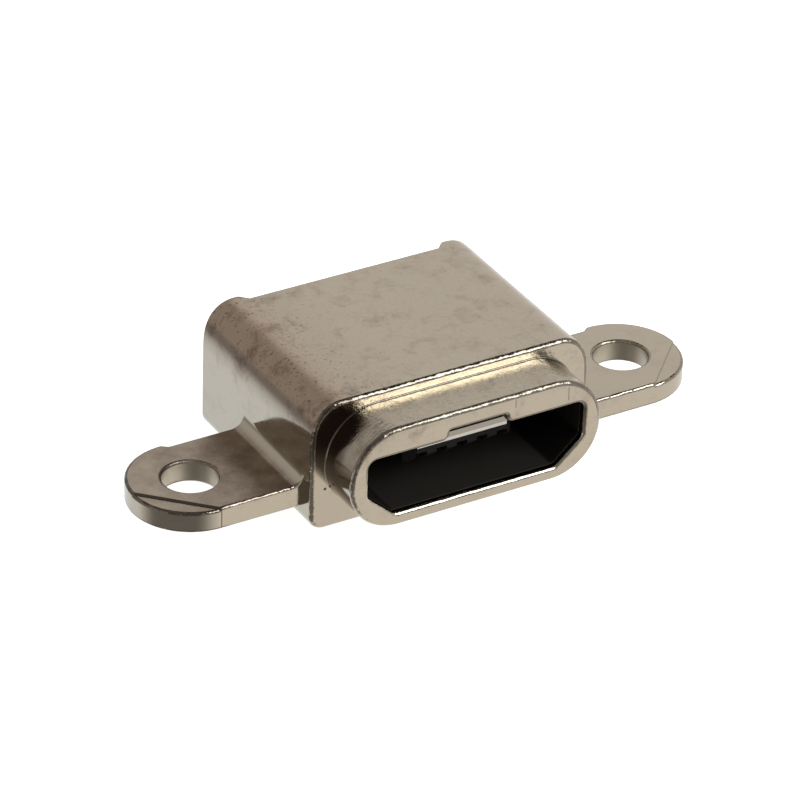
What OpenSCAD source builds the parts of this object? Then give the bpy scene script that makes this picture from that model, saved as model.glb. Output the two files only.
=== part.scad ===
// Charging port connector: a one-piece metal shell with a racetrack nose and two screw ears, a moulded
// tongue with flat contacts beneath it and a stiffening plate on top, and a resin plug at the rear.
// Millimetres. The mouth faces -Y and +Z is up. The part rests on its body's underside at z = 0, and
// y = 0 is the line through the two screw holes.

/* [Body] */
// Width of the box body
body_w = 8.92; // [8.7:0.02:10.5]
// Height of the box body
body_h = 4; // [3.9:0.02:5]
// Length of the body from its front face to the rear lips
body_l = 6.34; // [6:0.02:8]
// Radius of the two upper long corners
body_top_r = 1; // [0.5:0.05:1.2]
// Radius of the two lower long corners
body_low_r = 0.45; // [0.25:0.05:1]
// Round on the rim of the body's front face
body_edge_r = 0.12; // [0.04:0.01:0.2]
// Thickness of the side walls round the rear pocket
side_wall = 0.66; // [0.4:0.02:0.8]
// Thickness of the roof over the rear pocket
roof_wall = 0.55; // [0.35:0.01:0.7]
// Thickness of the floor under the rear pocket
floor_wall = 0.55; // [0.35:0.01:0.7]
// Corner radius of the rear pocket
pocket_r = 0.5; // [0.2:0.05:0.8]
// Depth that the roof's rear edge is cut back between the two corner lips
recess_d = 0.25; // [0.1:0.01:0.4]
// Width of that cut between the lips
recess_w = 6.2; // [4:0.1:6.6]

/* [Nose] */
// Width of the nose
nose_w = 8.04; // [7.8:0.02:8.4]
// Height of the nose
nose_h = 3.17; // [3.1:0.01:3.3]
// Length of the nose in front of the body
nose_l = 1.45; // [0.8:0.05:2]
// Radius of the nose's round ends
nose_r = 1.55; // [0.8:0.01:1.55]
// Height of the nose's underside above the body's underside
nose_z = 0.49; // [0.3:0.01:0.55]
// Round on the rim of the nose's front face
nose_edge_r = 0.12; // [0.04:0.01:0.2]

/* [Mouth] */
// Width of the mouth at its wide upper side
mouth_w = 6.9; // [6.6:0.02:7.1]
// Height of the mouth
mouth_h = 1.85; // [1.8:0.01:1.95]
// Depth of the mouth from the nose's front face to the insulator
mouth_l = 5.2; // [4.8:0.05:5.6]
// Thickness of the nose under the mouth
sill = 0.395; // [0.35:0.005:0.5]
// Width of each bevel at the mouth's lower corners
bevel_w = 0.84; // [0.5:0.02:1.2]
// Height of each bevel at the mouth's lower corners
bevel_h = 0.75; // [0.5:0.01:1]
// Radius of the mouth's corners
mouth_r = 0.25; // [0.1:0.01:0.3]
// Radius of the rolled lip round the mouth
lip_r = 0.12; // [0.05:0.01:0.15]
// Width of the notch in the upper lip
notch_w = 1.8; // [1:0.05:2.4]
// Height of the notch above the mouth's roof
notch_h = 0.42; // [0.3:0.01:0.6]
// Depth of the notch from the nose's front face
notch_l = 1; // [0.4:0.05:2]
// Radius of the notch's upper corners
notch_r = 0.12; // [0.04:0.01:0.2]
// Radius where the notch's sides run out into the mouth's roof
notch_flare_r = 0.25; // [0.1:0.01:0.3]
// Distance of each latch pocket's middle from the centre plane
latch_x = 2.35; // [2.2:0.05:2.6]
// Width of each latch pocket
latch_w = 0.9; // [0.6:0.05:1.2]
// Length of each latch pocket
latch_l = 1.2; // [0.8:0.05:1.6]
// Depth of each latch pocket in the mouth's roof
latch_d = 0.35; // [0.2:0.01:0.5]
// Setback of the latch pockets from the nose's front face
latch_y = 2.4; // [1.8:0.05:3]

/* [Ears] */
// Distance between the two screw holes
hole_spacing = 14.08; // [13.4:0.02:16]
// Diameter of the screw holes
hole_d = 1.6; // [1:0.05:2.2]
// Setback of the screw holes from the body's front face
hole_y = 2.23; // [2.1:0.01:3]
// Radius of the round lobe at each ear's end
lobe_r = 1.82; // [1.6:0.01:2]
// Distance of the neck's rear edge from the line of the holes
neck_back = 1.68; // [1.2:0.01:1.75]
// Length of the slope from the lobe down to the neck's rear edge
neck_blend = 0.25; // [0.1:0.05:1]
// Thickness of the ears
ear_t = 0.7; // [0.4:0.02:1]
// Height of the ears' underside above the body's underside
ear_z = 0.655; // [0.4:0.005:1]
// Round on the ears' edges and on the rims of the holes
ear_edge_r = 0.06; // [0.02:0.01:0.1]
// Fillet between the ears' tops and the body
ear_fillet_r = 0.4; // [0.1:0.02:0.6]
// Distance of the lobe's low flat from the hole's axis
flat_x = 1.3; // [1.15:0.01:1.45]
// Depth of that flat below the ear's top
flat_d = 0.05; // [0.02:0.01:0.1]

/* [Tongue] */
// Width of the tongue
tongue_w = 3.5; // [3.3:0.02:3.7]
// Thickness of the tongue with its plate
tongue_t = 0.6; // [0.5:0.01:0.7]
// Setback of the tongue's front from the nose's front face
tongue_y = 0.85; // [0.5:0.05:1.5]
// Gap between the mouth's roof and the tongue
tongue_drop = 0.435; // [0.35:0.005:0.5]
// Chamfer at the tongue's front corners
tongue_chamfer = 0.3; // [0.1:0.02:0.4]
// Lead-in chamfer under the tongue's front edge
tongue_lead = 0.24; // [0.1:0.01:0.3]
// Width of the stiffening plate
plate_w = 2.88; // [2.4:0.02:2.9]
// Thickness of the stiffening plate
plate_t = 0.11; // [0.1:0.01:0.2]
// Length of plate held inside the insulator's block
plate_hold = 0.9; // [0.4:0.05:1.1]

/* [Contacts] */
// Spacing of the contacts
pitch = 0.65; // [0.6:0.01:0.7]
// Width of a contact
contact_w = 0.3; // [0.2:0.01:0.34]
// Thickness of a contact
contact_t = 0.15; // [0.1:0.01:0.2]
// Height that a contact stands proud of the tongue's underside
contact_proud = 0.03; // [0.01:0.01:0.06]
// Setback of the contacts' tips from the tongue's front
contact_y = 0.8; // [0.2:0.02:1]
// Height of the open groove in front of each contact's tip
tip_groove_h = 0.34; // [0.24:0.01:0.38]
// Gap between the rear lips and the contacts' legs
leg_gap = 0.2; // [0.1:0.02:0.6]
// Inside radius of a contact's bends
bend_r = 0.12; // [0.05:0.01:0.18]
// Length of a contact's flat solder foot
foot_l = 0.6; // [0.3:0.05:1]

/* [Rear seal] */
// Thickness of the resin plug
seal_t = 0.5; // [0.3:0.05:0.8]
// Depth of the plug's rear face below the roof's cut-back edge
seal_inset = 0.06; // [0.02:0.01:0.2]

/* [Fits] */
// Gap round pieces that are moulded in or pressed in
fit_gap = 0.02; // [0.01:0.005:0.03]

/* [Hidden] */
$fn = 64;
contacts = 5;
over = 1;
corner_steps = 6;
lip_steps = 5;
ear_top = ear_z + ear_t;
hole_x = hole_spacing / 2;
front_y = -hole_y;
nose_y = front_y - nose_l;
rear_y = front_y + body_l;
recess_y = rear_y - recess_d;
mouth_z = nose_z + sill;
roof_z = mouth_z + mouth_h;
mouth_end = nose_y + mouth_l;
seal_end = recess_y - seal_inset;
block_end = seal_end - seal_t;
tongue_front = nose_y + tongue_y;
tongue_top = roof_z - tongue_drop;
tongue_low = tongue_top - tongue_t;
contact_low = tongue_low - contact_proud;
contact_front = tongue_front + contact_y;
leg_y = rear_y + leg_gap;

// Outlines in the X-Z plane: each corner is [x, z, radius], counter-clockwise seen from the mouth
body_outline = [
    [-body_w / 2, 0, body_low_r],
    [body_w / 2, 0, body_low_r],
    [body_w / 2, body_h, body_top_r],
    [-body_w / 2, body_h, body_top_r]
];
nose_outline = [
    [-nose_w / 2, nose_z, nose_r],
    [nose_w / 2, nose_z, nose_r],
    [nose_w / 2, nose_z + nose_h, nose_r],
    [-nose_w / 2, nose_z + nose_h, nose_r]
];
mouth_outline = [
    [-mouth_w / 2 + bevel_w, mouth_z, mouth_r],
    [mouth_w / 2 - bevel_w, mouth_z, mouth_r],
    [mouth_w / 2, mouth_z + bevel_h, mouth_r],
    [mouth_w / 2, roof_z, mouth_r],
    [-mouth_w / 2, roof_z, mouth_r],
    [-mouth_w / 2, mouth_z + bevel_h, mouth_r]
];
function pocket_outline(gap) = [
    [-body_w / 2 + side_wall + gap, floor_wall + gap, pocket_r],
    [body_w / 2 - side_wall - gap, floor_wall + gap, pocket_r],
    [body_w / 2 - side_wall - gap, body_h - roof_wall - gap, pocket_r],
    [-body_w / 2 + side_wall + gap, body_h - roof_wall - gap, pocket_r]
];

function unit(v) = v / norm(v);
function outward(from, to) = let (d = unit(to - from)) [d[1], -d[0]];
function point(corner) = [corner[0], corner[1]];

// The arc at a corner: its centre, its radius and the outward normals of the edges before and after it
function corner_arc(before, corner, after) = let (
    n1 = outward(point(before), point(corner)),
    n2 = outward(point(corner), point(after)))
    [point(corner) - corner[2] * (n1 + n2) / (1 + n1 * n2), corner[2], n1, n2];
function corner_arcs(outline) = let (n = len(outline))
    [for (i = [0:n - 1]) corner_arc(outline[(i + n - 1) % n], outline[i], outline[(i + 1) % n])];

module quarter_disc(r) {
    intersection() {
        circle(r);
        square(2 * r);
    }
}

// What is left of a square corner outside a round of radius r, standing proud of the face by r
module flare(r) {
    difference() {
        square([r, 2 * r]);
        translate([r, 0]) circle(r);
    }
}

// Section of a prism's rim: a strip of width w with a round on its far outer corner
module rim_section(w, length, edge) {
    square([w, length - edge]);
    if (edge > 0) {
        if (w > edge) square([w - edge, length]);
        translate([w - edge, length - edge]) quarter_disc(edge);
    }
}

// Prism on a convex outline with round corners, and with a round on the rim of its far end
module rounded_prism(outline, length, edge = 0) {
    n = len(outline);
    arcs = corner_arcs(outline);
    linear_extrude(length)
        polygon([for (a = arcs) each [a[0] + (a[1] - edge) * a[2], a[0], a[0] + (a[1] - edge) * a[3]]]);
    for (a = arcs)
        translate(a[0])
            rotate(atan2(a[2][1], a[2][0]))
                rotate_extrude(angle = acos(a[2] * a[3]))
                    rim_section(a[1], length, edge);
    if (edge > 0)
        for (i = [0:n - 1])
            let (a = arcs[i], b = arcs[(i + 1) % n],
                w = min(a[1], b[1]),
                start = b[0] + (b[1] - w) * b[2],
                end = a[0] + (a[1] - w) * a[3])
                translate(start)
                    rotate(atan2(a[3][1], a[3][0]))
                        rotate([90, 0, 0])
                            linear_extrude(norm(start - end)) rim_section(w, length, edge);
}

// One loop of a lofted cutter: the outline grown outwards by grow, at height z
function grown_loop(outline, grow, z) = [
    for (a = corner_arcs(outline))
        let (first = atan2(a[2][1], a[2][0]), turn = acos(a[2] * a[3]))
            for (k = [0:corner_steps])
                let (t = first + turn * k / corner_steps)
                    [a[0][0] + (a[1] + grow) * cos(t), a[0][1] + (a[1] + grow) * sin(t), z]
];

// Cutter lofted up the outline, which flares out at height length so that the cut has a round lip
module lipped_cutter(outline, length, lip) {
    rolled = [
        for (k = [0:lip_steps])
            let (t = 90 * k / lip_steps)
                grown_loop(outline, lip * (1 - cos(t)), length - lip * (1 - sin(t)))
    ];
    loops = concat([grown_loop(outline, 0, 0)], rolled, [grown_loop(outline, lip, length + over)]);
    n = len(loops[0]);
    last = (len(loops) - 1) * n;
    polyhedron(
        points = [for (loop = loops) each loop],
        faces = concat(
            [[for (i = [0:n - 1]) i]],
            [for (k = [0:len(loops) - 2], i = [0:n - 1])
                let (j = (i + 1) % n) [k * n + j, k * n + i, (k + 1) * n + i, (k + 1) * n + j]],
            [[for (i = [0:n - 1]) last + n - 1 - i]]
        ));
}

// Stands a shape drawn on the X-Z plane at rear, with its height towards the mouth
module facing_front(rear) {
    translate([0, rear, 0]) rotate([90, 0, 0]) children();
}

// Flat bar from 0 to length, as thick as an ear, with both edges of its far end rounded
module soft_bar(length) {
    square([length - ear_edge_r, ear_t]);
    translate([0, ear_edge_r]) square([length, ear_t - 2 * ear_edge_r]);
    translate([length - ear_edge_r, ear_t - ear_edge_r]) quarter_disc(ear_edge_r);
    translate([length - ear_edge_r, ear_edge_r]) mirror([0, 1]) quarter_disc(ear_edge_r);
}

module screw_hole() {
    rotate_extrude() {
        translate([0, -ear_edge_r]) square([hole_d / 2, ear_t + 2 * ear_edge_r]);
        translate([hole_d / 2, ear_t - ear_edge_r]) flare(ear_edge_r);
        translate([hole_d / 2, ear_edge_r]) mirror([0, 1]) flare(ear_edge_r);
    }
}

// The ear on the +X side: a neck out of the body's side, a round lobe with a low flat, and a hole
module ear() {
    root_x = (body_w - side_wall) / 2;
    difference() {
        union() {
            translate([hole_x, 0, ear_z])
                rotate(-90) rotate_extrude(angle = 180) soft_bar(lobe_r);
            translate([root_x, 0, ear_z])
                rotate([90, 0, 90]) linear_extrude(hole_x - root_x) {
                    soft_bar(neck_back);
                    mirror([1, 0]) soft_bar(lobe_r);
                }
            translate([hole_x, 0, ear_z + ear_edge_r])
                linear_extrude(ear_t - 2 * ear_edge_r)
                    polygon([[0, 0], [0, lobe_r - ear_edge_r], [-neck_blend, neck_back], [-neck_blend, 0]]);
            translate([0, neck_back - ear_edge_r, 0])
                rotate([90, 0, 0]) linear_extrude(neck_back + lobe_r - 2 * ear_edge_r)
                    difference() {
                        translate([root_x, ear_z + ear_edge_r])
                            square([body_w / 2 + ear_fillet_r - root_x, ear_t + ear_fillet_r - ear_edge_r]);
                        translate([body_w / 2 + ear_fillet_r, ear_top + ear_fillet_r])
                            circle(ear_fillet_r);
                    }
        }
        translate([hole_x, 0, ear_z]) screw_hole();
        translate([hole_x, 0, ear_top - flat_d])
            rotate(-45) translate([flat_x, -lobe_r, 0]) cube([lobe_r, 2 * lobe_r, ear_t]);
    }
}

// Section of the notch in the upper lip, with its sides running out into the mouth's roof
module notch_section() {
    translate([0, roof_z])
        for (side = [0, 1])
            mirror([side, 0]) {
                translate([0, -tongue_drop / 2])
                    square([notch_w / 2, notch_h - notch_r + tongue_drop / 2]);
                square([notch_w / 2 - notch_r, notch_h]);
                translate([notch_w / 2 - notch_r, notch_h - notch_r]) quarter_disc(notch_r);
                translate([notch_w / 2, 0])
                    difference() {
                        square(notch_flare_r);
                        translate([notch_flare_r, notch_flare_r]) circle(notch_flare_r);
                    }
            }
}

module mouth_cut() {
    facing_front(mouth_end) lipped_cutter(mouth_outline, mouth_l, lip_r);
    facing_front(nose_y + notch_l) linear_extrude(notch_l + over) notch_section();
    for (side = [-1, 1])
        translate([side * latch_x - latch_w / 2, nose_y + latch_y, roof_z - tongue_drop / 2])
            cube([latch_w, latch_l, latch_d + tongue_drop / 2]);
}

module rear_cut() {
    facing_front(rear_y + over) rounded_prism(pocket_outline(0), rear_y + over - mouth_end);
    translate([0, 0, body_h - body_top_r])
        linear_extrude(body_top_r + over)
            polygon([
                [-recess_w / 2, recess_y],
                [recess_w / 2, recess_y],
                [recess_w / 2 + recess_d + over, rear_y + over],
                [-recess_w / 2 - recess_d - over, rear_y + over]
            ]);
}

module shell() {
    color([0.68, 0.65, 0.59])
        difference() {
            union() {
                facing_front(rear_y) rounded_prism(body_outline, body_l, edge = body_edge_r);
                facing_front(0) rounded_prism(nose_outline, -nose_y, edge = nose_edge_r);
                ear();
                mirror([1, 0, 0]) ear();
            }
            mouth_cut();
            rear_cut();
        }
}

// Section of a contact in the Y-Z plane, grown by gap: the straight run under the tongue
module contact_run(gap, end) {
    translate([contact_front - gap, contact_low - gap])
        square([end - contact_front + gap, contact_t + 2 * gap]);
}

// Slab of a contact's width, grown by gap, on the Y-Z section given
module across_contact(i, gap) {
    translate([(i - (contacts + 1) / 2) * pitch - contact_w / 2 - gap, 0, 0])
        rotate([90, 0, 90]) linear_extrude(contact_w + 2 * gap) children();
}

module contact_bend(turn) {
    rotate(turn)
        intersection() {
            difference() {
                circle(bend_r + contact_t);
                circle(bend_r);
            }
            square(2 * (bend_r + contact_t));
        }
}

module contact(i) {
    leg_top = contact_low - bend_r;
    leg_low = contact_t + bend_r;
    color([0.83, 0.66, 0.33])
        across_contact(i, 0) {
            contact_run(0, leg_y - bend_r);
            translate([leg_y - bend_r, leg_top]) contact_bend(0);
            translate([leg_y, leg_low]) square([contact_t, leg_top - leg_low]);
            translate([leg_y + contact_t + bend_r, leg_low]) contact_bend(180);
            translate([leg_y + contact_t + bend_r, 0]) square([foot_l, contact_t]);
        }
}

module plate_blank(gap) {
    translate([-plate_w / 2 - gap, tongue_front, tongue_top - plate_t])
        cube([plate_w + 2 * gap, mouth_end + plate_hold + gap - tongue_front, plate_t + gap]);
}

module tongue_plate() {
    color([0.74, 0.73, 0.71])
        translate([-plate_w / 2, tongue_front, tongue_top - plate_t])
            cube([plate_w, mouth_end + plate_hold - tongue_front, plate_t]);
}

module tongue_blank() {
    half = tongue_w / 2;
    intersection() {
        translate([0, 0, tongue_low])
            linear_extrude(tongue_t)
                polygon([
                    [-half, mouth_end], [-half, tongue_front + tongue_chamfer],
                    [-half + tongue_chamfer, tongue_front], [half - tongue_chamfer, tongue_front],
                    [half, tongue_front + tongue_chamfer], [half, mouth_end]
                ]);
        translate([-half, 0, 0])
            rotate([90, 0, 90])
                linear_extrude(tongue_w)
                    polygon([
                        [mouth_end, tongue_low], [mouth_end, tongue_top],
                        [tongue_front, tongue_top], [tongue_front, tongue_low + tongue_lead],
                        [tongue_front + tongue_lead, tongue_low]
                    ]);
    }
}

module insulator() {
    color([0.09, 0.09, 0.09])
        difference() {
            union() {
                facing_front(block_end)
                    rounded_prism(pocket_outline(fit_gap), block_end - mouth_end);
                tongue_blank();
            }
            plate_blank(fit_gap);
            for (i = [1:contacts])
                across_contact(i, fit_gap) {
                    contact_run(fit_gap, block_end + over);
                    translate([tongue_front - over, tongue_low - contact_t])
                        square([contact_y + fit_gap + over, tip_groove_h + contact_t]);
                }
        }
}

module rear_seal() {
    color([0.14, 0.14, 0.15])
        difference() {
            facing_front(seal_end) rounded_prism(pocket_outline(fit_gap), seal_t);
            for (i = [1:contacts])
                across_contact(i, fit_gap) contact_run(fit_gap, seal_end + over);
        }
}

shell();
insulator();
tongue_plate();
rear_seal();
for (i = [1:contacts])
    contact(i);
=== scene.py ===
"""Charging port connector: the metal shell is rebuilt with fine rounds, and every piece gets its finish."""

import math

import bmesh
import bpy
import numpy as np
from mathutils import Matrix, Vector
from mathutils.geometry import delaunay_2d_cdt


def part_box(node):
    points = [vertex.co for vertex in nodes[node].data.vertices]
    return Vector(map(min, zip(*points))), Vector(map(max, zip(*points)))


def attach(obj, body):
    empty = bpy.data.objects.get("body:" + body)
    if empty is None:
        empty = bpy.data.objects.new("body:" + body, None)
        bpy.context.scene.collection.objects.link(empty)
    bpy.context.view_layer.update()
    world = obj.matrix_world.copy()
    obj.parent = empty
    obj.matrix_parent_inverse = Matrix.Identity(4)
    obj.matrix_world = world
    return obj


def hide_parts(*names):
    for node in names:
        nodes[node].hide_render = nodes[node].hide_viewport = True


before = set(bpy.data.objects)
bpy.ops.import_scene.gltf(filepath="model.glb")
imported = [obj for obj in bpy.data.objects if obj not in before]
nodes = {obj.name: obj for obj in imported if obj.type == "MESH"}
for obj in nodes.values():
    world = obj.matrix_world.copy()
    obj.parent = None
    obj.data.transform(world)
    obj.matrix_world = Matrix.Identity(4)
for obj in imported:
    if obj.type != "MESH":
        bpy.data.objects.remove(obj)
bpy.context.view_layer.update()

MM = 0.001

# Sizes in millimetres, the solid's apart from the mouth's roof, the notch and the ears' edge rounds
BODY_W, BODY_H, BODY_TOP_R, BODY_LOW_R = 8.92, 4.0, 1.0, 0.45
FRONT_Y, REAR_Y, NOSE_Y, MOUTH_END = -2.23, 4.11, -3.68, 1.52
BODY_EDGE_R, REAR_EDGE_R = 0.12, 0.05
SIDE_WALL, ROOF_WALL, FLOOR_WALL, POCKET_R = 0.66, 0.55, 0.55, 0.5
RECESS_D, RECESS_X = 0.25, 3.1
NOSE_W, NOSE_H, NOSE_R, NOSE_Z, NOSE_EDGE_R = 8.04, 3.17, 1.55, 0.49, 0.12
JUNCTION_R = 0.04
MOUTH_W, MOUTH_Z, ROOF_Z, BEVEL_W, BEVEL_H, MOUTH_R = 6.9, 0.885, 2.79, 0.84, 0.75, 0.25
LIP_R = 0.12
NOTCH_W, NOTCH_H, NOTCH_L, NOTCH_R, FLARE_R = 1.8, 0.29, 0.17, 0.05, 0.24
SLOT_Z, SLOT_L, SLOT_RIM, SLOT_R = 2.96, 0.8, 0.012, 0.04
LATCH_X, LATCH_W, LATCH_L, LATCH_D, LATCH_Y = 2.35, 0.9, 1.2, 0.35, 2.4
HOLE_X, HOLE_R, LOBE_R, NECK_BACK, NECK_BLEND = 7.04, 0.8, 1.82, 1.68, 0.25
EAR_Z, EAR_T, EAR_EDGE_R, EAR_FILLET_R = 0.655, 0.7, 0.085, 0.4
EAR_TOP = EAR_Z + EAR_T
FLAT_X, FLAT_D, FLAT_TURN = 1.3, 0.05, math.radians(-45)
CONTACT_N, CONTACT_T, CONTACT_EDGE_R = 5, 0.15, 0.02

# Fine lines and beads that only the scene has
SEAM_W, SEAM_D = 0.03, 0.012
BEAD_W, BEAD_H, BEAD_GAP, BEAD_SINK = 0.16, 0.05, 0.012, 0.005
COLLAR_W, COLLAR_H = 0.10, 0.07

# Spans of an outline's corner, an edge round, a fillet, a mouth corner, an ear's lobe and a hole
ARC_N, EDGE_N, FILLET_N, MOUTH_N, LOBE_N, HOLE_N = 24, 7, 16, 8, 72, 96
QUARTER = [math.pi / 2 * k / EDGE_N for k in range(EDGE_N + 1)]

# Share of an eased corner's turn that is spent on easing in, and the fine steps to each of its spans
EASE, EASE_STEPS = 0.7, 40

# Share of the edge rounds' nicks, 1 at the outer ones; from 0.2 up a round also takes its painted dark
# reflection in full
WEAR_AND_SHADE_HOLE, WEAR_AND_SHADE_LIP = 0.7, 0.5

# Angles at which an edge is sharp, and the part of a normal along an axis that makes a wall square to it
SHARP, BEAD_SHARP, CONTACT_SHARP = math.radians(35), math.radians(40), math.radians(50)
SQUARE = 0.999999

# Digits of a millimetre that tell corners apart on a skin and the rear rim, and the least gap in a fill
SKIN_DIGITS, RIM_DIGITS, FILL_GAP = 5, 6, 1e-6


# Mesh assembly

class Skin:
    """Faces from many patches, joined where their corners coincide."""

    def __init__(self):
        self.points, self.index, self.faces, self.wear_and_shade = [], {}, [], []

    def corner(self, p):
        key = tuple(round(float(c), SKIN_DIGITS) for c in p)
        if key not in self.index:
            self.index[key] = len(self.points)
            self.points.append(key)
        return self.index[key]

    def face(self, *corners, wear_and_shade=0.0):
        ids = []
        for p in corners:
            i = self.corner(p)
            if i not in ids:
                ids.append(i)
        if len(ids) > 2:
            self.faces.append(ids)
            self.wear_and_shade.append(wear_and_shade)

    def strip(self, a, b, closed=True, skip=(), wear_and_shade=0.0):
        """Quads between two rows of points; skip holds the spans that another patch fills."""
        n = len(a)
        for i in range(n if closed else n - 1):
            if i not in skip:
                j = (i + 1) % n
                self.face(a[i], a[j], b[j], b[i], wear_and_shade=wear_and_shade)

    def rounds(self, rows, closed=True, wear_and_shade=1.0):
        """The strips of an edge round, which the finish shows nicked and, on most of them, with a painted
        dark reflection.
        """
        for a, b in zip(rows, rows[1:]):
            self.strip(a, b, closed, wear_and_shade=wear_and_shade)

    def fill(self, loops, lift, lines=()):
        """Fills a flat region, and maps it to space by lift(u, v).

        The first loop is its border and the rest are holes; lines are kept as edges inside it.
        """
        flat, edges = [], []
        for loop in list(loops) + list(lines):
            first, n = len(flat), len(loop)
            flat += [(float(p[0]), float(p[1])) for p in loop]
            closed = any(loop is known for known in loops)
            edges += [(first + i, first + (i + 1) % n) for i in range(n if closed else n - 1)]
        out, _, faces, source, _, _ = delaunay_2d_cdt([Vector(p) for p in flat], edges, [], 0, FILL_GAP)
        at_uv = [flat[s[0]] if s else (p[0], p[1]) for p, s in zip(out, source)]
        border, holes = loops[0], loops[1:]
        for f in faces:
            c = np.mean([at_uv[i] for i in f], axis=0)
            if within(c, border) and not any(within(c, h) for h in holes):
                self.face(*[lift(*at_uv[i]) for i in f])

    def mesh(self, name):
        me = bpy.data.meshes.new(name)
        me.from_pydata([[c * MM for c in p] for p in self.points], [], self.faces)
        bm = bmesh.new()
        bm.from_mesh(me)
        bmesh.ops.recalc_face_normals(bm, faces=bm.faces)
        bm.to_mesh(me)
        bm.free()
        me.attributes.new("edge_round", "FLOAT", "FACE").data.foreach_set("value", self.wear_and_shade)
        return me


def within(p, loop):
    """True if the point lies inside the loop."""
    x, y, odd = p[0], p[1], False
    for (x1, y1), (x2, y2) in zip(loop, list(loop[1:]) + [loop[0]]):
        if (y1 > y) != (y2 > y) and x < (x2 - x1) * (y - y1) / (y2 - y1) + x1:
            odd = not odd
    return odd


def settle_normals(me):
    """Sets the corner normals: a wall square to an axis keeps its own, and rounds run into it."""
    around = [[] for _ in me.vertices]
    for face in me.polygons:
        for v in face.vertices:
            around[v].append(face)
    normals = []
    for face in me.polygons:
        for v in face.vertices:
            near = [f for f in around[v] if f.normal.dot(face.normal) > math.cos(SHARP)]
            square = [f for f in near if max(abs(c) for c in f.normal) > SQUARE]
            total = sum((f.normal * (f.area / MM ** 2) for f in square or near), Vector((0, 0, 0)))
            normals.append(total.normalized())
    me.normals_split_custom_set(normals)


def add_object(name, mesh, sharp):
    """Links a smooth-shaded mesh into the scene, with sharp edges where it turns by more than sharp."""
    obj = bpy.data.objects.new(name, mesh)
    bpy.context.scene.collection.objects.link(obj)
    mesh.shade_smooth()
    mesh.set_sharp_from_angle(angle=sharp)
    return obj


# Outlines in the X-Z plane

def rise(r, t):
    """Distance of a round of radius r from the plane that it starts on, at the angle t."""
    return r * (1 - math.cos(t))


def run(r, t):
    """Distance of a round of radius r from the plane that it ends on, at the angle t."""
    return r * (1 - math.sin(t))


def corner_arcs(outline):
    """Centre, radius, first angle, turn and side of the arc at each (x, z, radius) of an outline."""
    arcs, n = [], len(outline)
    for i in range(n):
        p0, p1, p2 = (np.array(outline[(i + k) % n][:2], float) for k in (-1, 0, 1))
        r = outline[i][2]
        d1, d2 = (p1 - p0) / np.linalg.norm(p1 - p0), (p2 - p1) / np.linalg.norm(p2 - p1)
        turn = math.atan2(d1[0] * d2[1] - d1[1] * d2[0], d1 @ d2)
        side = 1 if turn > 0 else -1
        n1, n2 = side * np.array([d1[1], -d1[0]]), side * np.array([d2[1], -d2[0]])
        centre = p1 - r * (n1 + n2) / (1 + n1 @ n2)
        arcs.append((centre, r, math.atan2(n1[1], n1[0]), turn, side))
    return arcs


def eased_turn(n):
    """A right-angle turn that eases in from a straight wall and cuts its corner like a unit arc.

    Rows of (angle, way along the wall, way across it), and the wall's length taken by the turn.
    """
    fine = EASE_STEPS * n
    share = np.clip((np.arange(fine) + 0.5) / fine / EASE, 0, 1)
    bend = np.cumsum(share * share * (3 - 2 * share))
    angle = bend / bend[-1] * math.pi / 2
    along, across = np.cumsum(np.cos(angle)), np.cumsum(np.sin(angle))
    half = np.searchsorted(angle, math.pi / 4)
    size = (math.sqrt(2) - 1) / ((along[-1] - along[half] + across[half]) / math.sqrt(2))
    rows = [(0.0, 0.0, 0.0)]
    for i in range(EASE_STEPS - 1, fine, EASE_STEPS):
        rows.append((angle[i], along[i] * size, across[i] * size))
    rows[-1] = (math.pi / 2,) + rows[-1][1:]
    return rows, along[-1] * size


def loop_of(outline, grow=0.0, n=ARC_N):
    """The outline's points, n spans to each corner, grown outwards.

    A corner with a fourth entry eases in from the wall before it or after it.
    """
    pts = []
    for (x, z, _, *wall), (centre, r, first, turn, side) in zip(outline, corner_arcs(outline)):
        if not wall:
            for k in range(n + 1):
                t = first + turn * k / n
                reach = r + side * grow
                pts.append((centre[0] + reach * math.cos(t), centre[1] + reach * math.sin(t)))
            continue
        before = wall[0] == "before"
        rows, reach = eased_turn(n)
        corner = np.array((x, z), float)
        ways = [np.array([-math.sin(a), math.cos(a)]) for a in (first, first + turn)]
        if not before:
            ways = [-ways[1], -ways[0]]
        eased = []
        for angle, along, across in rows:
            t = first + angle if before else first + turn - angle
            p = corner - reach * r * ways[0] + r * (along * ways[0] + across * ways[1])
            eased.append((p[0] + grow * math.cos(t), p[1] + grow * math.sin(t)))
        pts += eased if before else eased[::-1]
    return pts


def box_outline(x, z0, z1, r_low, r_top):
    return [(-x, z0, r_low), (x, z0, r_low), (x, z1, r_top), (-x, z1, r_top)]


def at(loop, y):
    return [(x, y, z) for x, z in loop]


BODY = box_outline(BODY_W / 2, 0, BODY_H, BODY_LOW_R, BODY_TOP_R)
BODY[2] += ("before",)
BODY[3] += ("after",)
NOSE = box_outline(NOSE_W / 2, NOSE_Z, NOSE_Z + NOSE_H, NOSE_R, NOSE_R)
POCKET = box_outline(BODY_W / 2 - SIDE_WALL, FLOOR_WALL, BODY_H - ROOF_WALL, POCKET_R, POCKET_R)
HALF = MOUTH_W / 2
LOWER = [(-HALF + BEVEL_W, MOUTH_Z, MOUTH_R), (HALF - BEVEL_W, MOUTH_Z, MOUTH_R),
         (HALF, MOUTH_Z + BEVEL_H, MOUTH_R), (HALF, ROOF_Z, MOUTH_R)]
NOTCH = [(NOTCH_W / 2, ROOF_Z, FLARE_R), (NOTCH_W / 2, ROOF_Z + NOTCH_H, NOTCH_R),
         (-NOTCH_W / 2, ROOF_Z + NOTCH_H, NOTCH_R), (-NOTCH_W / 2, ROOF_Z, FLARE_R)]
MOUTH = LOWER + NOTCH + [(-HALF, ROOF_Z, MOUTH_R), (-HALF, MOUTH_Z + BEVEL_H, MOUTH_R)]


# The ear on the +X side

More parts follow.
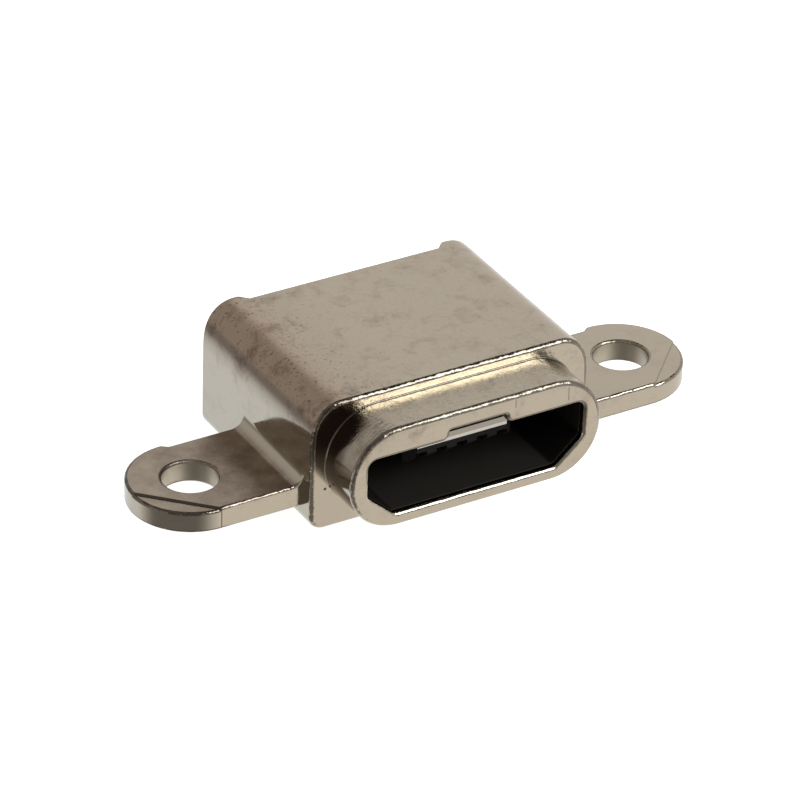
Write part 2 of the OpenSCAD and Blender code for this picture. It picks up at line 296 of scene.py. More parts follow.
def fillet_lines():
    """Places across the ear of the lines along its fillet, from its foot up to the body's wall."""
    foot = BODY_W / 2 + EAR_FILLET_R
    return [foot - EAR_FILLET_R * math.sin(math.pi / 2 * k / FILLET_N) for k in range(FILLET_N)]


def flat_angles(radius):
    """Angles on the lobe at that radius where the lines along the low flat's step begin and end."""
    pairs = []
    for s in np.linspace(-FLAT_D, 0.0, EDGE_N):
        half = math.acos((FLAT_X + s) / radius)
        pairs.append((FLAT_TURN - half, FLAT_TURN + half))
    return pairs


def ear_outline(seam):
    """Open border of the ear from the body's front side round to its rear side: (x, y, outward normal).

    seam is the depth of the fine parting line where its straight front side meets the lobe.
    """
    fillet = sorted(fillet_lines())
    rows = [(x, -LOBE_R, 0.0, -1.0) for x in [BODY_W / 2] + fillet + [HOLE_X - SEAM_W]]
    rows.append((HOLE_X - SEAM_W / 2, seam - LOBE_R, 0.0, -1.0))
    angles = list(np.linspace(-math.pi / 2, math.pi / 2, LOBE_N + 1))
    for radius in (LOBE_R, LOBE_R - EAR_EDGE_R / 2, LOBE_R - EAR_EDGE_R):
        angles += [a for pair in flat_angles(radius) for a in pair if abs(a) < math.pi / 2]
    angles.sort()
    least = 1e-4
    angles = [a for i, a in enumerate(angles) if i == 0 or a - angles[i - 1] > least]
    for a in angles:
        nx, ny = math.cos(a), math.sin(a)
        rows.append((HOLE_X + LOBE_R * nx, LOBE_R * ny, nx, ny))
    step = LOBE_R - NECK_BACK
    for k in range(1, EDGE_N + 1):
        t = k / EDGE_N
        slope = step * 6 * t * (1 - t) / NECK_BLEND
        c = 1 / math.hypot(1, slope)
        rows.append((HOLE_X - NECK_BLEND * t, LOBE_R - step * (3 * t * t - 2 * t ** 3), -slope * c, c))
    rows += [(x, NECK_BACK, 0.0, 1.0) for x in fillet[::-1] + [BODY_W / 2]]
    return rows


def ear_height(x, y):
    """Height of the ear's top: a fillet up the body's wall, a low flat across the lobe's corner."""
    z = EAR_TOP
    reach = BODY_W / 2 + EAR_FILLET_R - x
    if reach > 0:
        z += EAR_FILLET_R - math.sqrt(max(0.0, EAR_FILLET_R ** 2 - min(reach, EAR_FILLET_R) ** 2))
    s = ((x - HOLE_X) - y) * math.sqrt(0.5) - FLAT_X
    if s >= 0:
        z -= FLAT_D
    elif s > -FLAT_D:
        z -= FLAT_D - math.sqrt(FLAT_D ** 2 - (s + FLAT_D) ** 2)
    return z


def add_ear(skin, side):
    """Adds one ear with its hole, and returns the rows of points along its border, lowest first."""
    rows = ear_outline(SEAM_D if side < 0 else 0.0)
    circle = [2 * math.pi * k / HOLE_N for k in range(HOLE_N)]
    r, n = EAR_EDGE_R, len(QUARTER)

    def put(x, y, z):
        return (side * x, y, z)

    def inset(depth):
        return [(x - depth * nx, y - depth * ny) for x, y, nx, ny in rows]

    def ring(grow):
        return [(HOLE_X + (HOLE_R + grow) * math.cos(a), (HOLE_R + grow) * math.sin(a)) for a in circle]

    def low(t):
        return EAR_Z + rise(r, t)

    columns = [[put(x, y, low(t)) for x, y in inset(run(r, t))] for t in QUARTER]
    columns += [[put(x, y, ear_height(x, y) - run(r, t)) for x, y in inset(rise(r, t))] for t in QUARTER]
    skin.rounds(columns[:n], closed=False)
    skin.strip(columns[n - 1], columns[n], closed=False)
    skin.rounds(columns[n:], closed=False)

    rings = [[put(x, y, low(t)) for x, y in ring(run(r, t))] for t in QUARTER]
    rings += [[put(x, y, EAR_TOP - run(r, t)) for x, y in ring(rise(r, t))] for t in QUARTER]
    skin.rounds(rings[:n], wear_and_shade=WEAR_AND_SHADE_HOLE)
    skin.strip(rings[n - 1], rings[n])
    skin.rounds(rings[n:], wear_and_shade=WEAR_AND_SHADE_HOLE)

    border, hole = inset(r), ring(r)
    skin.fill([border, hole], lambda x, y: put(x, y, EAR_Z))
    front, back = border[0][1], border[-1][1]
    lines = [[(x, front), (x, back)] for x in fillet_lines()]
    inner = LOBE_R - r
    for pair in flat_angles(inner):
        ends = [(HOLE_X + inner * math.cos(a), inner * math.sin(a)) for a in pair]
        lines.append([min(border, key=lambda p: math.dist(p, e)) for e in ends])
    skin.fill([border, hole], lambda x, y: put(x, y, ear_height(x, y)), lines)
    return columns


# The whole shell

# Points to each corner of a box outline's loop, and the spans that are its right, top and left walls
BOX_N = ARC_N + 1
RIGHT, TOP, LEFT = 2 * BOX_N - 1, 3 * BOX_N - 1, 4 * BOX_N - 1


def rear_at(x, z, slope_end):
    """The rear rim's place: cut back between the two corner lips of the roof."""
    if z < BODY_H - BODY_TOP_R:
        return REAR_Y
    share = min(1.0, max(0.0, (abs(x) - RECESS_X) / (slope_end - RECESS_X)))
    return REAR_Y - RECESS_D * (1 - share)


def add_outside(skin):
    """Adds the body's walls with the ears, the brow round its front and the nose up to its rim."""
    rear = at(loop_of(BODY), REAR_Y - REAR_EDGE_R)
    brow = [at(loop_of(BODY, -rise(BODY_EDGE_R, t)), FRONT_Y + run(BODY_EDGE_R, t)) for t in QUARTER]
    neck = [at(loop_of(NOSE, run(JUNCTION_R, t)), FRONT_Y - rise(JUNCTION_R, t)) for t in QUARTER]
    rim = [at(loop_of(NOSE, -rise(NOSE_EDGE_R, t)), NOSE_Y + run(NOSE_EDGE_R, t)) for t in QUARTER]
    skin.strip(rear, brow[0], skip=(RIGHT, TOP, LEFT))
    skin.rounds(brow)
    skin.strip(brow[-1], neck[0])
    for a, b in zip(neck, neck[1:] + rim[:1]):
        skin.strip(a, b)
    skin.rounds(rim)

    # Roof plane with its rear edge cut back between the lips
    slope_out = RECESS_X + RECESS_D
    flat = rear[TOP][0]
    xs = [flat, slope_out, RECESS_X, -RECESS_X, -slope_out, -flat]
    rear_edge = [(x, rear_at(x, BODY_H, slope_out) - REAR_EDGE_R) for x in xs]
    front_edge = FRONT_Y + BODY_EDGE_R
    roof = [(flat, front_edge)] + rear_edge + [(-flat, front_edge)]
    skin.fill([roof], lambda x, y: (x, y, BODY_H))

    # Side walls with the ears' roots
    for side, corner in ((1, RIGHT), (-1, LEFT)):
        columns = add_ear(skin, side)
        after = (corner + 1) % len(rear)
        wall = [rear[corner], rear[after], brow[0][after], brow[0][corner]]
        root = [(c[0][1], c[0][2]) for c in columns] + [(c[-1][1], c[-1][2]) for c in reversed(columns)]
        skin.fill([[(p[1], p[2]) for p in wall], root], lambda y, z, s=side: (s * BODY_W / 2, y, z))


def add_rear(skin):
    """Adds the rear rim and the pocket behind it."""
    slope_out, slope_in = RECESS_X + RECESS_D, POCKET[1][0] - POCKET_R

    def rear_loop(outline, grow, back, slope_end, extra):
        loop = loop_of(outline, grow)
        loop[TOP + 1:TOP + 1] = [(x, loop[TOP][1]) for x in extra]
        return loop, [(x, rear_at(x, z, slope_end) - back, z) for x, z in loop]

    r, lips = REAR_EDGE_R, [RECESS_X, -RECESS_X]
    slopes = [slope_out] + lips + [-slope_out]
    outer = [rear_loop(BODY, -rise(r, t), run(r, t), slope_out, slopes) for t in QUARTER]
    inner = [rear_loop(POCKET, run(r, t), rise(r, t), slope_in, lips) for t in QUARTER]
    skin.rounds([rim for _, rim in outer])
    skin.rounds([rim for _, rim in inner])

    def key(x, z):
        return round(x, RIM_DIGITS), round(z, RIM_DIGITS)

    (outer_uv, outer_rim), (inner_uv, inner_rim) = outer[-1], inner[0]
    spots = {key(*p): q for p, q in zip(outer_uv + inner_uv, outer_rim + inner_rim)}
    top_out, top_in = outer_uv[TOP + 1][1], inner_uv[TOP + 1][1]
    lines = [[(s * RECESS_X, top_out), (s * RECESS_X, top_in)] for s in (1, -1)]
    lines += [[(s * slope_out, top_out), (s * slope_in, top_in)] for s in (1, -1)]
    skin.fill([outer_uv, inner_uv], lambda x, z: spots[key(x, z)], lines)

    start, end = inner[-1][1], at(loop_of(POCKET), MOUTH_END)
    skin.strip(start[:TOP + 1] + start[TOP + 3:], end, skip=(TOP,))
    skin.face(*start[TOP:TOP + 4], end[TOP + 1], end[TOP])


def add_mouth(skin):
    """Adds the mouth with its rolled lip, notch and latch pockets, and the nose's front."""
    lip = [at(loop_of(MOUTH, run(LIP_R, t), MOUTH_N), NOSE_Y + rise(LIP_R, t)) for t in QUARTER]
    skin.rounds(lip, wear_and_shade=WEAR_AND_SHADE_LIP)
    section = loop_of(MOUTH, 0, MOUTH_N)
    low = [(x, min(z, ROOF_Z)) for x, z in section]
    notch_y = NOSE_Y + NOTCH_L
    skin.strip(lip[-1], at(section, notch_y))

    # Notch: a shallow step, with a slot into the wall above the mouth's roof
    first = len(LOWER) * (MOUTH_N + 1)
    last = first + len(NOTCH) * (MOUTH_N + 1) - 1
    step = section[first:last + 1]
    slot_x, slot_top = NOTCH_W / 2 - SLOT_RIM, ROOF_Z + NOTCH_H - SLOT_RIM
    slot = loop_of(box_outline(slot_x, SLOT_Z, slot_top, SLOT_R, SLOT_R), n=MOUTH_N)
    slot_end = at(slot, notch_y + SLOT_L)
    skin.fill([step, slot], lambda x, z: (x, notch_y, z))
    skin.strip(at(slot, notch_y), slot_end)
    skin.face(*slot_end)

    # Walls behind the notch, and the roof with its latch pockets
    skin.strip(at(low, notch_y), at(low, MOUTH_END), skip=range(first - 1, last + 1))
    right, left = section[first - 1][0], section[last + 1][0]
    on_roof = [x for x, z in step if abs(z - ROOF_Z) < 1e-9]
    roof = [(x, notch_y) for x in [right] + on_roof + [left]] + [(left, MOUTH_END), (right, MOUTH_END)]
    latches = []
    for s in (-1, 1):
        x0, x1 = s * LATCH_X - LATCH_W / 2, s * LATCH_X + LATCH_W / 2
        y0, y1 = NOSE_Y + LATCH_Y, NOSE_Y + LATCH_Y + LATCH_L
        latches.append([(x0, y0), (x1, y0), (x1, y1), (x0, y1)])
    skin.fill([roof] + latches, lambda x, y: (x, y, ROOF_Z))
    for latch in latches:
        low_edge = [(x, y, ROOF_Z) for x, y in latch]
        high_edge = [(x, y, ROOF_Z + LATCH_D) for x, y in latch]
        skin.strip(low_edge, high_edge)
        skin.face(*high_edge)

    # Step down from the pocket, and the nose's front face
    skin.fill([loop_of(POCKET), low[:first] + low[last + 1:]], lambda x, z: (x, MOUTH_END, z))
    skin.fill([loop_of(NOSE, -NOSE_EDGE_R), loop_of(MOUTH, LIP_R, MOUTH_N)], lambda x, z: (x, NOSE_Y, z))


def build_shell():
    skin = Skin()
    add_outside(skin)
    add_rear(skin)
    add_mouth(skin)
    return skin.mesh("shell_skin")


shell = add_object("shell_skin", build_shell(), SHARP)
settle_normals(shell.data)
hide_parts("shell")
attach(shell, "root")


# Resin that crept up the pocket's wall and the contacts' legs

def add_bead(skin, outline, seat, width, height):
    """A ring with a hollow slope on the seal, along an outline; a negative width lies inside it."""
    gap = math.copysign(BEAD_GAP, width)

    def loop(grow, y):
        return at(loop_of(outline, gap + grow, MOUTH_N), y)

    loops = [loop(run(width, t), seat + rise(height, t)) for t in QUARTER]
    loops += [loop(0.0, seat - BEAD_SINK), loop(width, seat - BEAD_SINK)]
    for a, b in zip(loops, loops[1:] + loops[:1]):
        skin.strip(a, b)


def build_beads():
    skin = Skin()
    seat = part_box("rear_seal")[1][1] / MM
    add_bead(skin, POCKET, seat, -BEAD_W, BEAD_H)
    for i in range(1, CONTACT_N + 1):
        low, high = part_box(f"contact_{i}")
        x0, x1, top = low[0] / MM, high[0] / MM, high[2] / MM
        leg = [(x0, top - CONTACT_T, 0.0), (x1, top - CONTACT_T, 0.0), (x1, top, 0.0), (x0, top, 0.0)]
        add_bead(skin, leg, seat, COLLAR_W, COLLAR_H)
    return skin.mesh("seal_beads")


beads = add_object("seal_beads", build_beads(), BEAD_SHARP)
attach(beads, "root")


# Materials

class Tree:
    """A node tree, with helpers that add nodes to it. A value is a number, a colour or a socket."""

    def __init__(self, owner):
        owner.use_nodes = True
        self.nodes, self.links = owner.node_tree.nodes, owner.node_tree.links
        self.axis = {}

    def node(self, kind, **settings):
        n = self.nodes.new(kind)
        for key, value in settings.items():
            setattr(n, key, value)
        return n

    def feed(self, value, socket):
        if isinstance(value, bpy.types.NodeSocket):
            self.links.new(value, socket)
        else:
            socket.default_value = value

    def math(self, operation, a, b=0.0, clamp=False):
        n = self.node("ShaderNodeMath", operation=operation, use_clamp=clamp)
        self.feed(a, n.inputs[0])
        self.feed(b, n.inputs[1])
        return n.outputs[0]

    def chain(self, operation, values):
        first, *others = values
        for value in others:
            first = self.math(operation, first, value)
        return first

    def product(self, *values):
        return self.chain("MULTIPLY", values)

    def total(self, *values):
        return self.chain("ADD", values)

    def most(self, *values):
        return self.chain("MAXIMUM", values)

    def square(self, value):
        return self.math("POWER", value, 2.0)

    def measure(self, operation, a, b):
        """A number from two vectors, such as their distance."""
        n = self.node("ShaderNodeVectorMath", operation=operation)
        self.feed(a, n.inputs[0])
        self.feed(b, n.inputs[1])
        return n.outputs["Value"]

    def mix(self, share, a, b, kind="RGBA", blend="MIX"):
        n = self.node("ShaderNodeMix", data_type=kind, blend_type=blend)
        self.feed(share, n.inputs["Factor"])
        self.feed(a, n.inputs["A"])
        self.feed(b, n.inputs["B"])
        return n.outputs["Result"]

    def span(self, value, low, high, to_low=0.0, to_high=1.0):
        """Maps low to high smoothly onto to_low to to_high, and stays there outside."""
        n = self.node("ShaderNodeMapRange", interpolation_type="SMOOTHSTEP")
        self.feed(value, n.inputs["Value"])
        for key, x in (("From Min", low), ("From Max", high), ("To Min", to_low), ("To Max", to_high)):
            n.inputs[key].default_value = x
        return n.outputs["Result"]

    def split(self, where):
        """Takes apart the place or direction that regions go by."""
        part = self.node("ShaderNodeSeparateXYZ")
        self.feed(where, part.inputs[0])
        self.axis = {key.lower(): part.outputs[key] for key in "XYZ"}

    def region(self, **sides):
        """A soft mask: the product of the spans given for each axis, as ends of span()."""
        masks = []
        for key, spans in sides.items():
            masks += [self.span(self.axis[key], *ends) for ends in spans]
        return self.product(*masks)


class Shader(Tree):
    """A material with a Principled shader, which goes by places on the part in millimetres."""

    def __init__(self, name):
        self.material = bpy.data.materials.new(name)
        super().__init__(self.material)
        self.main = self.nodes["Principled BSDF"]
        coords = self.node("ShaderNodeTexCoord")
        scale = self.node("ShaderNodeVectorMath", operation="SCALE")
        scale.inputs["Scale"].default_value = 1 / MM
        self.feed(coords.outputs["Object"], scale.inputs[0])
        self.where = scale.outputs[0]

    def noise(self, scale, detail=2.0, rough=0.5, distort=0.0, stretch=None):
        n = self.node("ShaderNodeTexNoise")
        n.inputs["Scale"].default_value = scale
        n.inputs["Detail"].default_value = detail
        n.inputs["Roughness"].default_value = rough
        n.inputs["Distortion"].default_value = distort
        where = self.where
        if stretch:
            m = self.node("ShaderNodeMapping")
            m.inputs["Scale"].default_value = stretch
            self.feed(where, m.inputs["Vector"])
            where = m.outputs["Vector"]
        self.feed(where, n.inputs["Vector"])
        return n.outputs["Fac"]

    def spot(self, centre, radius):
        """A round mark about a place on the part, soft at its border."""
        return self.span(self.measure("DISTANCE", self.where, centre), radius, radius / 2)

    def bump(self, height, distance, strength=1.0, normal=None):
        n = self.node("ShaderNodeBump")
        self.feed(strength, n.inputs["Strength"])
        n.inputs["Distance"].default_value = distance * MM
        self.feed(height, n.inputs["Height"])
        if normal is not None:
            self.feed(normal, n.inputs["Normal"])
        return n.outputs["Normal"]

    def set(self, **sockets):
        for key, value in sockets.items():
            self.feed(value, self.main.inputs[key.replace("_", " ")])
        return self.material


def rgb(r, g, b):
    return (r, g, b, 1.0)


# Colours of the shell: PLATE, a brown that is tarnish and also painted shade, and WARM, which tints the
# left upper round
PLATE, TARNISH_AND_SHADE, WARM = rgb(0.50, 0.445, 0.355), rgb(0.205, 0.146, 0.118), rgb(0.99, 0.91, 0.87)
# Near black for real fine lines and pits and for painted dark reflection and shade, then a near black of
# painted shade inside the mouth
GRIME_AND_SHADE, MOUTH_SHADE = rgb(0.07, 0.058, 0.047), rgb(0.024, 0.019, 0.018)
# Grey of the painted shade on the notch's recessed wall
NOTCH_SHADE = rgb(0.34, 0.31, 0.265)

# Fine lines on the nose's front as (x, lowest z, highest z), and pits in the front of the body
FRONT_LINES = ((2.905, 2.98, 3.44), (1.175, 3.22, 3.54))
LINE_END = 0.06
PITS, PIT_R = ((-4.014, -2.23, 1.305), (-3.857, -2.23, 1.357)), 0.06


def tarnish_and_shade(s, left, ear):
    """Share of brown: tarnish specks and patches, most on the left round, an even brown over that round,
    and painted shade on the left ear's top, mottled and darkest near the body.
    """
    specks = s.product(s.span(s.noise(10, 2.5), 0.59, 0.70), s.span(left, 0, 1, 0.22, 0.7),
                       s.region(z=[(3.2, 3.8, 0.3, 1.0)]))
    patches = s.product(s.span(s.noise(1.3, 5, 0.7, 0.3), 0.48, 0.75),
                        s.region(z=[(1.8, 3.2, 0.45, 1.0)]))
    worn = s.total(s.product(patches, s.span(left, 0, 1, 0.42, 0.65)), s.product(left, 0.15))
    turn = s.region(x=[(-3.3, -3.8, 0.0, 0.28)], z=[(2.5, 3.1)])
    spread = s.math("ADD", specks, s.total(worn, turn), clamp=True)
    # Painted shade on the left ear's top, mottled, darker toward the body
    ear_shade = s.product(s.span(s.noise(1.6, 5, 0.65), 0.3, 0.7, 0.5, 0.9),
                      s.region(x=[(-6.2, -8.8, 1.0, 0.6)]))
    ear_shade = s.math("ADD", ear_shade, s.region(x=[(-5.8, -5.0, 0.0, 0.10)]), clamp=True)
    return s.most(spread, s.product(ear, ear_shade))


def grime_and_shade(s, edge_wear_and_shade):
    """Share of near black: painted dark reflection on the edge rounds and along the left ear's step,
    painted shade in the crease at the nose's foot, and real fine lines and pits.
    """
    x, y, z, wide = (s.axis[key] for key in ("x", "y", "z", "wide"))
    # Painted dark reflection along the edge rounds: the upper ones, the left ear's (most toward its tip)
    # and, more lightly, the right ear's
    edges = s.most(s.region(z=[(1.9, 2.6, 0.0, 0.6)]),
                   s.region(x=[(-4.6, -4.8), (-6.6, -7.1, 0.1, 0.75)]),
                   s.region(x=[(4.6, 4.8, 0.0, 0.4)]))
    marks = [s.product(edges, s.span(edge_wear_and_shade, 0, 0.2))]

    # Painted dark reflection along the low flat's step on the left ear
    across = s.product(s.math("SUBTRACT", s.math("SUBTRACT", wide, HOLE_X), y), math.sqrt(0.5))
    across = s.math("SUBTRACT", across, FLAT_X)
    marks.append(s.product(s.span(across, -0.08, -0.045), s.span(across, 0.025, 0.0, 0.0, 0.8),
                           s.region(x=[(0.0, -1.0)], z=[(1.27, 1.29)])))

    for place, low, top in FRONT_LINES:
        off = s.math("ABSOLUTE", s.math("SUBTRACT", x, place))
        ends = s.region(z=[(low, low + LINE_END), (top, top - LINE_END)], y=[(-3.60, -3.66)])
        marks.append(s.product(s.span(off, 0.022, 0.008, 0.0, 0.6), ends))
    marks += [s.spot(pit, PIT_R) for pit in PITS]

    # Painted shade in the crease where the nose's upper corners meet the body's front
    beyond = s.most(s.math("SUBTRACT", wide, NOSE_W / 2 - NOSE_R), 0.0)
    above = s.math("SUBTRACT", z, NOSE_Z + NOSE_H - NOSE_R)
    foot = s.region(y=[(-2.275, -2.262), (-2.222, -2.228)], z=[(2.6, 3.4, 0.0, 0.75)])
    marks.append(s.product(foot, s.span(s.total(s.square(beyond), s.square(above)),
                                        (NOSE_R + 0.055) ** 2, (NOSE_R + 0.04) ** 2)))
    return s.most(*marks)


def nickel():
    """Nickel plate: fine grain, dark specks, brown tarnish, nicked edge rounds, painted dark reflections,
    and painted shade in the mouth, the notch and on the left ear.
    """
    s = Shader("nickel_plate")
    s.split(s.where)
    wide = s.axis["wide"] = s.math("ABSOLUTE", s.axis["x"])
    edge_wear_and_shade = s.node("ShaderNodeAttribute", attribute_name="edge_round").outputs["Fac"]

    # Places on the shell
    left = s.region(x=[(-1.0, -3.6)], z=[(2.6, 3.6)])
    ear = s.region(z=[(1.28, 1.30), (1.53, 1.37)], x=[(-4.5, -4.8)])
    # Painted dark reflection on the nose's upper left round, next to the body's front
    left_corner = s.region(y=[(-2.15, -2.22), (-3.2, -2.75)], x=[(-2.9, -3.3)],
                           z=[(1.7, 2.9, 0.1, 0.95)])
    # A dark brown patch on the nose's upper right round, at the right end of the brow highlight
    right_corner = s.region(y=[(-2.24, -2.28), (-3.0, -2.6)], x=[(2.8, 3.05), (3.75, 3.45, 0.0, 0.9)],
                            z=[(2.9, 3.1)])
    # Painted shade inside the mouth: a darker colour, and less metallic
    inside = s.region(y=[(-3.50, -3.40), (3.6, 3.4)], wide=[(3.52, 3.44)],
                      z=[(0.82, 0.90), (3.3, 3.2)])
    # Painted shade on the notch's recessed wall
    notch = s.region(y=[(-3.58, -3.54), (-3.40, -3.45)], wide=[(1.35, 1.25)],
                     z=[(2.72, 2.76), (3.3, 3.2)])

    # Brown: tarnish, the painted shade on the left ear, the painted dark reflection at the nose's upper
    # left and the right corner's patch
    dirt_and_shade = s.most(tarnish_and_shade(s, left, ear), left_corner, right_corner)
    warm = s.product(left, s.region(x=[(-2.6, -3.8)], y=[(-2.25, -2.1)]))
    # Near black mottles in the right corner's patch
    right_patch = s.product(right_corner, s.span(s.noise(3, 3, 0.6), 0.35, 0.6, 0.5, 0.95))
    # Near black on the upper part of the painted dark reflection at the nose's upper left
    black = s.product(left_corner, s.region(z=[(2.0, 2.9, 0.0, 0.46)]))
    colour = s.mix(dirt_and_shade, PLATE, TARNISH_AND_SHADE)
    colour = s.mix(warm, colour, WARM, blend="MULTIPLY")
    colour = s.mix(s.most(grime_and_shade(s, edge_wear_and_shade), right_patch, black), colour, GRIME_AND_SHADE)
    # Painted shade inside the mouth
    colour = s.mix(inside, colour, MOUTH_SHADE)
    # Painted shade on the notch's recessed wall
    colour = s.mix(notch, colour, NOTCH_SHADE)

    # Rougher on the roof, the brow's top, the inside of the mouth, the walls of the holes and the left ear
    bore = s.total(s.square(s.math("SUBTRACT", wide, HOLE_X)), s.square(s.axis["y"]))
    rough = s.total(s.span(s.noise(4, 4), 0.3, 0.7, 0.10, 0.16),
                    s.region(z=[(3.7, 3.95, 0.0, 0.06)]),
                    s.region(z=[(3.3, 3.6)], y=[(-2.26, -2.34, 0.0, 0.12)]),
                    s.product(inside, 0.2),
                    s.span(bore, (HOLE_R + 0.03) ** 2, (HOLE_R + 0.01) ** 2, 0.0, 0.25),
                    s.product(ear, s.region(x=[(-4.9, -5.6, 0.0, 0.14)])))

    # Grain, coarser on the roof and satin on the nose's top, and nicks along the edge rounds
    roof_grain = s.span(s.region(z=[(3.3, 3.7)]), 0, 1, 0.3, 0.55)
    satin = s.region(z=[(3.0, 3.5)], y=[(-2.18, -2.26, 0.0, 4.0)])
    grain = s.bump(s.product(s.noise(8, 3, 0.6), s.total(roof_grain, satin)), 0.0036)
    nicks = s.bump(s.noise(3.2, 2, 0.5), 0.06, edge_wear_and_shade, grain)
    return s.set(Base_Color=colour, Metallic=s.span(inside, 0, 1, 1.0, 0.65), Roughness=rough,
                 Normal=nicks)


def black_plastic():
    s = Shader("black_plastic")
    colour = s.mix(s.noise(6, 3), rgb(0.010, 0.009, 0.009), rgb(0.018, 0.016, 0.015))
    return s.set(Base_Color=colour, Roughness=s.span(s.noise(3, 3), 0.3, 0.7, 0.5, 0.65),
                 Specular_IOR_Level=0.08, Normal=s.bump(s.noise(24, 2), 0.002))


def plate_steel():
    s = Shader("plate_steel")
    brushed = s.noise(5, 3, stretch=(6, 0.5, 6))
    return s.set(Base_Color=s.mix(brushed, rgb(0.66, 0.63, 0.58), rgb(0.80, 0.77, 0.72)), Metallic=1.0,
                 Roughness=s.span(brushed, 0.3, 0.7, 0.40, 0.55), Normal=s.bump(brushed, 0.002))


def contact_gold():
    s = Shader("contact_gold")
    worn = s.noise(5, 4, 0.6)
    return s.set(Base_Color=s.mix(worn, rgb(0.80, 0.56, 0.22), rgb(0.90, 0.70, 0.36)), Metallic=1.0,
                 Roughness=s.span(worn, 0.3, 0.7, 0.2, 0.34), Normal=s.bump(s.noise(20, 2), 0.001))


def seal_resin():
    """Cured black resin: cloudy, with slow waves, pinholes and specks of dust."""
    s = Shader("seal_resin")
    ear_shade = s.noise(2, 4)
    dust = s.span(s.noise(9, 2), 0.68, 0.76)
    colour = s.mix(ear_shade, rgb(0.010, 0.010, 0.012), rgb(0.028, 0.028, 0.031))
    waves = s.bump(s.noise(1.3, 3), 0.05)
    pinholes = s.bump(s.span(s.noise(6, 1), 0.28, 0.22), -0.02, 1.0, waves)
    return s.set(Base_Color=s.mix(dust, colour, rgb(0.14, 0.13, 0.12)),
                 Roughness=s.span(ear_shade, 0.3, 0.7, 0.16, 0.34), Normal=pinholes)


def dress(obj, material):
    obj.data.materials.clear()
    obj.data.materials.append(material)


dress(shell, nickel())
dress(nodes["insulator"], black_plastic())
dress(nodes["tongue_plate"], plate_steel())
resin = seal_resin()
dress(nodes["rear_seal"], resin)
dress(beads, resin)
gold = contact_gold()
for i in range(1, CONTACT_N + 1):
    contact = nodes[f"contact_{i}"]
    dress(contact, gold)
    bevel = contact.modifiers.new("rolled_edges", "BEVEL")
    bevel.width, bevel.segments = CONTACT_EDGE_R * MM, 2
    bevel.limit_method, bevel.angle_limit = "ANGLE", CONTACT_SHARP


# Floor, lights and camera

FLOOR_SIZE, FLOOR_Z = 4, -2e-5
PAPER, PAPER_GLOW = rgb(0.9, 0.9, 0.9), 0.85
ROOM_LIGHT, FAR_FLOOR_LIGHT, FLOOR_LEVEL = rgb(1.02, 0.99, 0.96), rgb(0.94, 0.99, 1.04), 0.97
STAND, SHADE = (-0.55, -0.70, 0.46), (-0.80, -0.60, 0.0)
IMAGE_W, SENSOR_W = 800, 36


def floor():
    """White paper that keeps the object's shadow and looks white by its own glow."""
    bpy.ops.mesh.primitive_plane_add(size=FLOOR_SIZE, location=(0, 0, FLOOR_Z))
    plane = bpy.context.object
    plane.name = "floor"
    material = bpy.data.materials.new("floor_white")
    t = Tree(material)
    t.nodes.clear()
    path = t.node("ShaderNodeLightPath")
    rays = ("Is Camera Ray", "Is Glossy Ray", "Is Transmission Ray")
    seen = t.most(*(path.outputs[ray] for ray in rays))
    paper, glow = t.node("ShaderNodeBsdfDiffuse"), t.node("ShaderNodeEmission")
    paper.inputs["Color"].default_value = PAPER
    glow.inputs["Color"].default_value = rgb(1, 1, 1)
    t.feed(t.product(seen, PAPER_GLOW), glow.inputs["Strength"])
    both, out = t.node("ShaderNodeAddShader"), t.node("ShaderNodeOutputMaterial")
    t.feed(paper.outputs[0], both.inputs[0])
    t.feed(glow.outputs[0], both.inputs[1])
    t.feed(both.outputs[0], out.inputs["Surface"])
    dress(plane, material)
    plane.visible_glossy = False


def panel(name, toward, distance, width, height, radiance, tint):
    """A soft rectangular lamp that faces the object, with the given radiance."""
    lamp = bpy.data.lights.new(name, "AREA")
    lamp.shape = "RECTANGLE"
    lamp.size, lamp.size_y = width, height
    lamp.energy = radiance * math.pi * width * height
    lamp.color = tint
    o = bpy.data.objects.new(name, lamp)
    place = Vector(toward).normalized() * distance
    o.location = place
    o.rotation_euler = place.to_track_quat("Z", "Y").to_euler()
    o.visible_camera = False
    bpy.context.scene.collection.objects.link(o)


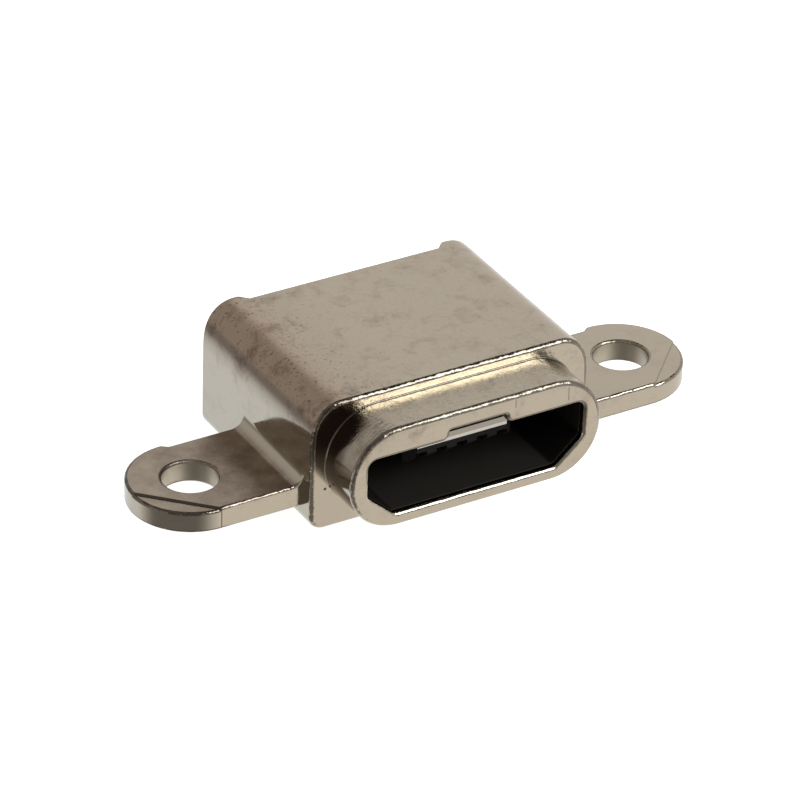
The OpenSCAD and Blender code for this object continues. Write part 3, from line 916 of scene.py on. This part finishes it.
def studio():
    """The room's light by direction.

    Above the horizon: a pale sweep behind, brighter to its right, a wall and a side on the right,
    a soft fill in front and on the left that is dimmer where the photographer stands, and a patch
    overhead. Below it: a white floor, dimmer to the front left and far behind on the left.
    """
    world = bpy.data.worlds.new("studio")
    t = Tree(world)
    back = t.nodes["Background"]
    toward = t.node("ShaderNodeTexCoord").outputs["Generated"]
    t.split(toward)

    sweep = t.region(y=[(0.05, 0.5)], x=[(-0.35, 0.35, 0.53, 0.80)], z=[(0.62, 0.86, 1.0, 0.0)])
    wall = t.region(x=[(0.45, 0.8, 0.0, 0.70)], z=[(0.3, 0.55, 1.0, 0.0)], y=[(-0.5, -0.2)])
    leaning = t.total(t.axis["x"], t.region(z=[(0.35, 0.6, 0.0, 0.25)]))
    fill = t.product(t.span(leaning, 0.05, 0.28, 1.0, 0.0),
                     t.region(y=[(0.45, 0.62, 1.0, 0.0)], z=[(0.45, 0.75, 0.55, 0.30)]),
                     t.span(t.measure("DOT_PRODUCT", toward, STAND), 0.80, 0.90, 1.0, 0.50))
    side = t.region(x=[(0.52, 0.70, 0.05, 0.60)], z=[(0.5, 0.8, 1.0, 0.5)])
    overhead = t.region(z=[(0.93, 0.97, 0.0, 0.50)])
    room = t.most(sweep, wall, fill, side, overhead)

    near = t.most(t.region(z=[(-0.25, -0.42)]), t.region(y=[(-0.3, -0.6)], x=[(-0.1, -0.4)]))
    shaded = t.product(t.span(t.measure("DOT_PRODUCT", toward, SHADE), 0.12, 0.70, 0.0, 0.77), near)
    behind = t.region(y=[(0.45, 0.65, 0.0, 0.60)], x=[(0.0, -0.25)], z=[(-0.46, -0.22)])
    ground = t.math("SUBTRACT", FLOOR_LEVEL, t.most(shaded, behind))

    below = t.region(z=[(-0.12, 0.08, 1.0, 0.0)])
    t.feed(t.mix(below, room, ground, kind="FLOAT"), back.inputs["Strength"])
    far_floor = t.region(y=[(0.2, 0.6)], z=[(-0.1, -0.4)])
    t.feed(t.mix(far_floor, ROOM_LIGHT, FAR_FLOOR_LIGHT), back.inputs["Color"])
    bpy.context.scene.world = world


def camera():
    """The photograph's camera, fitted in millimetres and in pixels of its frame."""
    azimuth, elevation, roll = (math.radians(a) for a in (-31.134, 31.613, 1.906))
    distance, shift_x, shift_y, focal = 140.551, -0.386, 0.058, 4986.673
    target = Vector((0, -0.176, 1.855))
    back = Vector((math.sin(azimuth) * math.cos(elevation), -math.cos(azimuth) * math.cos(elevation),
                   math.sin(elevation)))
    right = Vector((math.cos(azimuth), math.sin(azimuth), 0))
    up = back.cross(right)
    right, up = (math.cos(roll) * right + math.sin(roll) * up,
                 -math.sin(roll) * right + math.cos(roll) * up)
    eye = target + back * distance + right * shift_x + up * shift_y
    cam = bpy.data.cameras.new("camera")
    cam.sensor_width = SENSOR_W
    cam.lens = focal / IMAGE_W * SENSOR_W
    cam.clip_start, cam.clip_end = 0.001, 10
    o = bpy.data.objects.new("camera", cam)
    m = Matrix((right, up, back)).transposed().to_4x4()
    m.translation = eye * MM
    o.matrix_world = m
    bpy.context.scene.collection.objects.link(o)
    bpy.context.scene.camera = o


floor()
panel("key", toward=(0.44, -0.63, 0.62), distance=0.5, width=0.34, height=0.32, radiance=6.5,
      tint=(0.95, 1.0, 1.05))
studio()
camera()
bpy.context.scene.view_settings.view_transform = "Standard"
